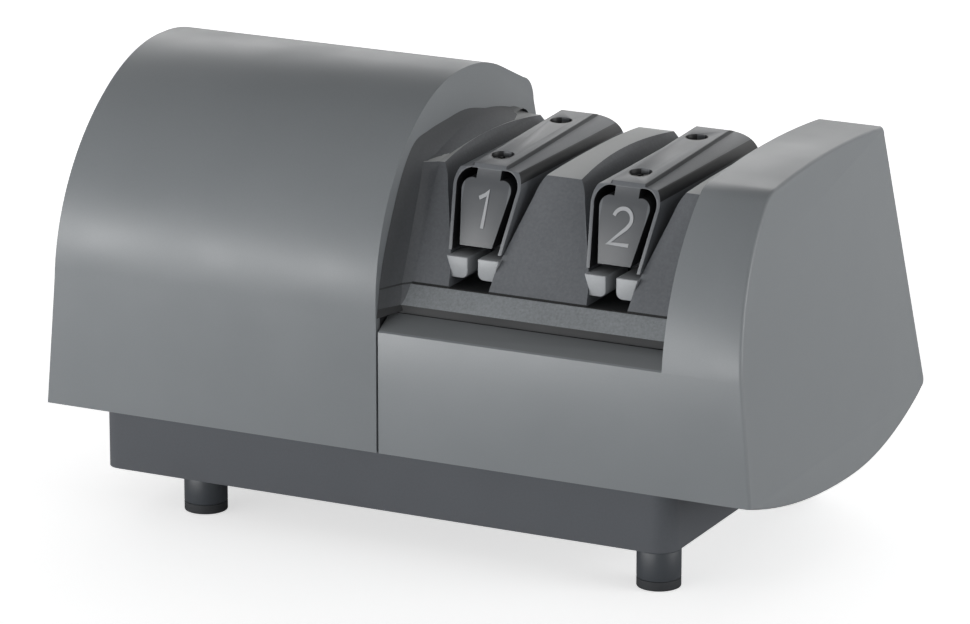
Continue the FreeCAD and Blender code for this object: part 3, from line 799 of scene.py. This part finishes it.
# The saddle screws, in millimetres: the head, the chamfer on it, the shank and the cross recess
HEAD_DEPTH = 1.7
CHAMFER_DEPTH = 0.5
CHAMFER_SHARE = 0.82
CHAMFER_HEIGHT = 0.849
SHANK_RADIUS = 1.5
SHANK_LENGTH = 34.8
SHANK_DROP = -18.2
CROSS_BARS = ((3.4, 0.9, 1.6), (0.9, 3.4, 1.6))
CROSS_HEIGHT = 1.0
HEAD_MIDDLE = 118.6


def moved(tree, piece, height):
    """A piece's geometry, raised by a height in millimetres."""
    return add(
        tree,
        "GeometryNodeTransform",
        {"Geometry": piece.outputs[0], "Translation": (0, 0, height * MM)},
    ).outputs[0]


def screw_tree():
    """Four recessed screws on a grid: the head, its chamfer, the cross recess and the shank."""
    tree = nodes_group("saddle_screws")
    tree.is_modifier = True
    radius = group_input(tree, "Head radius", sizes().screw_head)
    pitch = group_input(tree, "Stage pitch", (STAGES[1] - STAGES[0]) * MM)
    spacing = group_input(tree, "Screw spacing", (SCREWS[1] - SCREWS[0]) * MM)
    given = add(tree, "NodeGroupInput").outputs
    wide = given[radius.name]
    head = add(
        tree,
        "GeometryNodeMeshCylinder",
        {"Vertices": 40, "Radius": wide, "Depth": HEAD_DEPTH * MM},
    )
    rim = maths(tree, "MULTIPLY", wide, CHAMFER_SHARE)
    crown = add(
        tree,
        "GeometryNodeMeshCone",
        {"Vertices": 40, "Radius Top": rim, "Radius Bottom": wide, "Depth": CHAMFER_DEPTH * MM},
    )
    shank = add(
        tree,
        "GeometryNodeMeshCylinder",
        {"Vertices": 20, "Radius": SHANK_RADIUS * MM, "Depth": SHANK_LENGTH * MM},
    )
    whole = add(tree, "GeometryNodeMeshBoolean", operation="UNION", solver="EXACT")
    raised = moved(tree, crown, CHAMFER_HEIGHT)
    sunk = moved(tree, shank, SHANK_DROP)
    for part in (head.outputs[0], raised, sunk):
        tree.links.new(part, whole.inputs["Mesh 2"])
    # Each bar of the cross goes in by itself: joined bars cross each other, and the cut comes out empty
    uncut = {"Mesh 1": whole.outputs["Mesh"]}
    cut = add(tree, "GeometryNodeMeshBoolean", uncut, operation="DIFFERENCE", solver="EXACT")
    for size in CROSS_BARS:
        bar = add(tree, "GeometryNodeMeshCube", {"Size": Vector(size) * MM})
        tree.links.new(moved(tree, bar, CROSS_HEIGHT), cut.inputs["Mesh 2"])
    grid = add(
        tree,
        "GeometryNodeMeshGrid",
        {
            "Size X": given[pitch.name],
            "Size Y": given[spacing.name],
            "Vertices X": 2,
            "Vertices Y": 2,
        },
    )
    placed = add(
        tree,
        "GeometryNodeInstanceOnPoints",
        {"Points": grid.outputs[0], "Instance": cut.outputs["Mesh"]},
    )
    real = add(tree, "GeometryNodeRealizeInstances", {0: placed.outputs[0]})
    named = add(
        tree,
        "GeometryNodeSetMaterial",
        {"Geometry": real.outputs[0], "Material": MATERIALS["screw"]},
    )
    add(tree, "NodeGroupOutput", {0: named.outputs[0]})
    return tree, {radius.identifier: sizes().screw_head}


def grown(name, tree, values, place):
    """The plain mesh that a geometry tree makes, moved to its place in the mesh itself."""
    seed = bpy.data.objects.new(name, bpy.data.meshes.new(f"{name}_seed"))
    bpy.context.scene.collection.objects.link(seed)
    modifier = seed.modifiers.new("shape", "NODES")
    modifier.node_group = tree
    for identifier, value in values.items():
        modifier[identifier] = value
    graph = bpy.context.evaluated_depsgraph_get()
    mesh = bpy.data.meshes.new_from_object(seed.evaluated_get(graph), depsgraph=graph)
    seed.modifiers.clear()
    seed.data = mesh
    mesh.transform(Matrix.Translation(place))
    return seed


class SHARPENER_OT_screws(SharpenerOperator):
    """Recessed screws that hold the guide saddles"""

    bl_idname = "sharpener.screws"
    bl_label = "Saddle screws"

    def execute(self, context):
        tree, values = screw_tree()
        middle = spot(sum(STAGES) / 2, sum(SCREWS) / 2, HEAD_MIDDLE)
        piece = grown("recessed_screws", tree, values, middle)
        mesh = piece.data
        mesh.materials.clear()
        mesh.materials.append(MATERIALS["screw"])
        for polygon in mesh.polygons:
            polygon.use_smooth = True
        mesh.set_sharp_from_angle(angle=math.radians(30))
        settle(piece, "casing", "screw_steel", "saddle_screws")
        return {"FINISHED"}


class SHARPENER_OT_base(SharpenerOperator):
    """Base tray and feet"""

    bl_idname = "sharpener.base"
    bl_label = "Base"

    def execute(self, context):
        softened("base_shell", "base_tray", (0.5 * MM, 2, None))
        for node in sorted(frame["nodes"]):
            if node.startswith("foot_"):
                softened(node.replace("foot_", "leg_"), node, (0.3 * MM, 2, None))
        return {"FINISHED"}


class SHARPENER_OT_inner(SharpenerOperator):
    """Finishes for the drive, motor and switch, whose CAD shapes stay"""

    bl_idname = "sharpener.inner"
    bl_label = "Drive and motor"

    def execute(self, context):
        for node, piece in frame["nodes"].items():
            if not piece.hide_render:
                piece.data.materials.clear()
                piece.data.materials.append(finish_for(node))
        return {"FINISHED"}


class SHARPENER_OT_stage(SharpenerOperator):
    """Pale floor, soft lights and the camera"""

    bl_idname = "sharpener.stage"
    bl_label = "Studio"

    def execute(self, context):
        make_world(context)
        make_floor()
        # A long, low lamp at the front left puts the soft band on the foot of the hood's curve
        area_light("key", (-0.8, -1.45, 0.13), (2.0, 0.26), 19.0)
        # A wide lamp behind gives the flat tops their pale sheen
        area_light("back", (-0.7, 1.35, 0.8), (2.6, 0.9), 12.0)
        area_light("side", (1.35, 0.15, 0.3), (0.9, 0.6), 7.5)
        make_camera(context)
        context.scene.view_settings.view_transform = "Standard"
        return {"FINISHED"}


# Light of the surroundings: (upward part of the direction, level)
SKY = ((0.0, 0.95), (0.16, 0.7), (0.4, 0.2), (1.0, 0.24))


def make_world(context):
    """White to the camera. As light it is bright along the horizon and dim overhead."""
    world = bpy.data.worlds.new("studio_white")
    context.scene.world = world
    world.use_nodes = True
    tree = world.node_tree
    tree.nodes.clear()
    direction = add(tree, "ShaderNodeTexCoord").outputs["Generated"]
    upward = add(tree, "ShaderNodeSeparateXYZ", {0: direction}).outputs[2]
    sky = ramp(tree, upward, [(rise, (level, level, level)) for rise, level in SKY])
    light = add(tree, "ShaderNodeBackground", {"Color": sky, "Strength": 1.0})
    white = add(tree, "ShaderNodeBackground", {"Color": (1, 1, 1, 1), "Strength": 1.0})
    seen = add(tree, "ShaderNodeLightPath")
    through = maths(tree, "MAXIMUM", seen.outputs["Is Camera Ray"], seen.outputs["Is Transmission Ray"])
    mix = add(tree, "ShaderNodeMixShader", {0: through, 1: light.outputs[0], 2: white.outputs[0]})
    add(tree, "ShaderNodeOutputWorld", {"Surface": mix.outputs[0]})


FLOOR_GLOW = 0.62


def make_floor():
    """A plain pale floor that keeps the shadow and is white to the camera."""
    mesh = bpy.data.meshes.new("floor")
    form = bmesh.new()
    bmesh.ops.create_grid(form, x_segments=1, y_segments=1, size=6)
    form.to_mesh(mesh)
    form.free()
    material, tree, shader = new_material("studio_paper")
    seen = add(tree, "ShaderNodeLightPath")
    glow = maths(tree, "MULTIPLY", seen.outputs["Is Camera Ray"], FLOOR_GLOW)
    shader.inputs["Base Color"].default_value = (0.9, 0.9, 0.9, 1)
    shader.inputs["Roughness"].default_value = 0.9
    shader.inputs["Emission Color"].default_value = (1, 1, 1, 1)
    tree.links.new(glow, shader.inputs["Emission Strength"])
    floor = link("floor", mesh, material)
    floor.location.z = -0.0002


def area_light(name, place, size, power):
    lamp = bpy.data.lights.new(name, "AREA")
    lamp.shape = "RECTANGLE"
    lamp.size, lamp.size_y = size
    lamp.energy = power
    thing = bpy.data.objects.new(name, lamp)
    thing.location = place
    thing.rotation_euler = (Vector((0, 0, 0.07)) - Vector(place)).to_track_quat("-Z", "Y").to_euler()
    bpy.context.scene.collection.objects.link(thing)


# The camera is where the photograph's perspective puts it
CAMERA_TARGET = (11.6, 50.0, 66.3)
CAMERA_AZIMUTH = 26.54
CAMERA_ELEVATION = 16.32
CAMERA_DISTANCE = 1697.5
CAMERA_LENS = 204.1


def make_camera(context):
    lens = bpy.data.cameras.new("camera")
    lens.lens = CAMERA_LENS
    lens.sensor_width = 36
    camera = bpy.data.objects.new("camera", lens)
    around, rise = math.radians(CAMERA_AZIMUTH), math.radians(CAMERA_ELEVATION)
    back = Vector((math.sin(around) * math.cos(rise), -math.cos(around) * math.cos(rise), math.sin(rise)))
    camera.location = spot(*CAMERA_TARGET) + back * CAMERA_DISTANCE * MM
    camera.rotation_mode = "QUATERNION"
    camera.rotation_quaternion = (-back).to_track_quat("-Z", "Y")
    context.scene.collection.objects.link(camera)
    context.scene.camera = camera


STEPS = ("casing", "bay", "numbers", "screws", "base", "inner", "stage")


class SHARPENER_PT_panel(bpy.types.Panel):
    """The sharpener's pieces and finishes"""

    bl_idname = "SHARPENER_PT_panel"
    bl_label = "Knife sharpener"
    bl_space_type = "VIEW_3D"
    bl_region_type = "UI"
    bl_category = "Sharpener"

    def draw(self, context):
        for group in (context.scene.sharpener_finishes, context.scene.sharpener_sizes):
            box = self.layout.box()
            for name in group.__annotations__:
                box.prop(group, name)
        for step in STEPS:
            self.layout.operator(f"sharpener.{step}")


CLASSES = (
    SharpenerFinishes,
    SharpenerSizes,
    SHARPENER_OT_casing,
    SHARPENER_OT_bay,
    SHARPENER_OT_numbers,
    SHARPENER_OT_screws,
    SHARPENER_OT_base,
    SHARPENER_OT_inner,
    SHARPENER_OT_stage,
    SHARPENER_PT_panel,
)


def register():
    for cls in CLASSES:
        bpy.utils.register_class(cls)
    bpy.types.Scene.sharpener_finishes = bpy.props.PointerProperty(type=SharpenerFinishes)
    bpy.types.Scene.sharpener_sizes = bpy.props.PointerProperty(type=SharpenerSizes)


def unregister():
    del bpy.types.Scene.sharpener_sizes
    del bpy.types.Scene.sharpener_finishes
    for cls in reversed(CLASSES):
        bpy.utils.unregister_class(cls)


def main():
    register()
    make_materials()
    for step in STEPS:
        getattr(bpy.ops.sharpener, step)()


if __name__ == "__main__":
    main()
